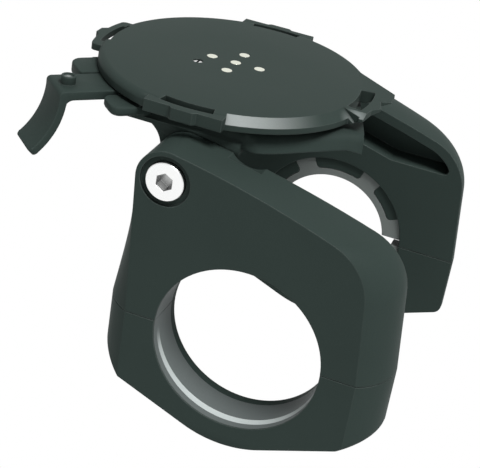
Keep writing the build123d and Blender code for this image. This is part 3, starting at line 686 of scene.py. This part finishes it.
def makeLever():
    start, end, half = lever["start"], lever["end"], lever["halfWidth"]
    foot, top, pinHeight = lever["foot"], lever["top"], lever["pinHeight"]
    inner = end - lever["thickness"]
    piece = newBox("releaseLever", (start, -half, foot), (end, half, top))
    startEdit(piece)
    bpy.ops.mesh.select_all(action="SELECT")
    bpy.ops.mesh.bisect(plane_co=(inner * mm, 0, 0), plane_no=(1, 0, 0))
    sweepHandle(piece, inner)
    roundTip(piece)
    corners = ((end, top, lever["topRound"]), (inner, foot, lever["innerRound"]))
    for x, z, width in corners:
        bevelPicked(
            piece, lambda p: runsAlong(p, "y") and atPlace(p, "x", x) and atPlace(p, "z", z), width
        )
    endEdit()
    softenEdges(piece, lever["soft"])
    tailHalf, hubHalf = half - lever["tailInset"], half - lever["hubInset"]
    tail = newBox(
        "tail", (lever["tailStart"], -tailHalf, lever["tailFoot"]),
        (start + lever["tailLap"], tailHalf, lever["tailTop"]),
    )
    cutWith(piece, tail, "UNION")
    hub = newRod("hub", lever["hubRadius"], (start, -hubHalf, pinHeight), (start, hubHalf, pinHeight))
    cutWith(piece, hub, "UNION")
    slot = newBox(
        "slot", (lever["slotStart"], -lever["slotHalf"], lever["slotFoot"]),
        (lever["slotEnd"], lever["slotHalf"], lever["slotTop"]),
    )
    cutWith(piece, slot, "DIFFERENCE")
    holeHalf = lever["holeHalf"]
    hole = newRod("hole", lever["pinHole"], (start, -holeHalf, pinHeight), (start, holeHalf, pinHeight))
    cutWith(piece, hole, "DIFFERENCE")
    cutWith(piece, makePeg(), "UNION")
    turnFromLever(piece)
    finishPiece(piece, "shell", "lever", ["release_lever"])


# locking peg: a short stub with a dished top and a button in the dish
def makePeg():
    place, top = peg["place"], peg["top"]
    piece = newRod("peg", peg["radius"], (place, 0, peg["foot"]), (place, 0, top), peg["sides"])
    startEdit(piece)
    pick(piece, "FACE", lambda p: atPlace(p, "z", top))
    bpy.ops.mesh.inset(thickness=peg["dishInset"] * mm)
    bpy.ops.mesh.inset(thickness=peg["dishWall"] * mm)
    bpy.ops.transform.translate(value=(0, 0, -peg["dishDepth"] * mm))
    bpy.ops.mesh.inset(thickness=peg["stubInset"] * mm)
    bpy.ops.mesh.inset(thickness=peg["stubWall"] * mm)
    bpy.ops.transform.translate(value=(0, 0, peg["stubRise"] * mm))
    endEdit()
    softenEdges(piece, peg["soft"])
    return piece


# the two ears that carry the lever's pin; first and last are the rounds of their outer corners
ears = {
    "near": {
        "low": (20.6, 4.45, 34.35), "high": (28.0, 10.3, 36.3),
        "first": 1.7, "last": 1.9, "heel": 22.8,
    },
    "far": {
        "low": (20.6, -11.3, 34.35), "high": (29.1, -4.45, 36.95),
        "first": 2.5, "last": 0.6, "heel": 22.2,
    },
}
earShape = {
    "footRound": 0.9, "topRound": 0.28, "topSegments": 3, "heelTop": 37.08,
    "sharpHalf": 4.5,  # foot edges nearer to the lever's middle than this stay sharp
}


def makeEar(name, values):
    low, high, heel = values["low"], values["high"], values["heel"]
    ear = newBox(name, low, high)
    startEdit(ear)
    for side, width in ((low[1], values["first"]), (high[1], values["last"])):
        bevelPicked(
            ear, lambda p: runsAlong(p, "z") and atPlace(p, "x", high[0]) and atPlace(p, "y", side), width
        )

    def reachesOut(ends):
        return max(point.x for point in ends) > low[0] + modelling["tolerance"]

    def besideLever(ends):
        return all(abs(point.y) < earShape["sharpHalf"] for point in ends)

    bevelPicked(
        ear, lambda p: atPlace(p, "z", low[2]) and reachesOut(p) and not besideLever(p),
        earShape["footRound"],
    )
    bevelPicked(
        ear, lambda p: atPlace(p, "z", high[2]) and reachesOut(p),
        earShape["topRound"], earShape["topSegments"],
    )
    # raise a heel at the plate's side
    bpy.ops.mesh.select_all(action="SELECT")
    bpy.ops.mesh.bisect(plane_co=(heel * mm, 0, 0), plane_no=(1, 0, 0))
    pick(ear, "FACE", lambda p: atPlace(p, "z", high[2]) and within(p, "x", 0, heel))
    rise = (earShape["heelTop"] - high[2]) * mm
    bpy.ops.mesh.extrude_region_move(TRANSFORM_OT_translate={"value": (0, 0, rise)})
    endEdit()
    return ear


# a copy of the bridge with its plain ears cut off, which the rounded ones above take over
earCut = {"low": (24.35, -13.0, 33.0), "high": (31.0, 13.0, 37.06)}


def makeBridge():
    roundedEars = [makeEar(side + "Ear", values) for side, values in ears.items()]
    tool = newBox("earCut", earCut["low"], earCut["high"])
    turnFromLever(tool)
    piece = bpy.data.objects.new("bridgeBody", nodes["bridge"].data.copy())
    scene.collection.objects.link(piece)
    startEdit(piece)
    bpy.ops.mesh.select_all(action="SELECT")
    bpy.ops.mesh.remove_doubles(threshold=modelling["weld"] * mm)
    endEdit()
    cutWith(piece, tool, "DIFFERENCE")
    finishPiece(piece, "shell", "platform", ["bridge"])
    for ear in roundedEars:
        turnFromLever(ear)
        finishPiece(ear, "shell", "platform")


# wound return spring on the lever's pin, with one leg under the plate
spring = {
    "wire": 0.19, "mean": 1.06, "half": 1.1, "turns": 5, "sides": 10, "stepsPerTurn": 24,
    "leg": 3.6, "endBand": 1.5,  # the band at the wire's end, in wire radii
}


def makeSpring():
    bpy.ops.object.select_all(action="DESELECT")
    bpy.ops.mesh.primitive_circle_add(
        vertices=spring["sides"], radius=spring["wire"] * mm,
        location=(0, -spring["half"] * mm, spring["mean"] * mm), rotation=(0, math.radians(90), 0),
    )
    piece = bpy.context.active_object
    piece.name = "leverSpring"
    bpy.ops.object.transform_apply(location=True, rotation=True, scale=True)
    wind = piece.modifiers.new("wound", "SCREW")
    wind.axis = "Y"
    wind.angle = math.radians(360)
    wind.iterations = spring["turns"]
    wind.screw_offset = 2 * spring["half"] / spring["turns"] * mm
    wind.steps = wind.render_steps = spring["stepsPerTurn"]
    applyLast(piece)
    startEdit(piece)
    endStart = spring["half"] - spring["wire"] * spring["endBand"]
    bpy.ops.mesh.select_mode(type="EDGE")
    bpy.ops.mesh.select_all(action="DESELECT")
    mesh = bmesh.from_edit_mesh(piece.data)
    for edge in mesh.edges:
        if edge.is_boundary and min(corner.co.y for corner in edge.verts) > endStart * mm:
            edge.select_set(True)
    bmesh.update_edit_mesh(piece.data)
    bpy.ops.mesh.extrude_region_move(TRANSFORM_OT_translate={"value": (-spring["leg"] * mm, 0, 0)})
    bpy.ops.mesh.select_all(action="SELECT")
    bpy.ops.mesh.fill_holes(sides=0)
    endEdit()
    piece.location = (lever["start"] * mm, 0, lever["pinHeight"] * mm)
    bpy.ops.object.transform_apply(location=True, rotation=True, scale=True)
    turnFromLever(piece)
    finishPiece(piece, "screw", "platform", ["lever_spring"])


makeLever()
makeBridge()
makeSpring()
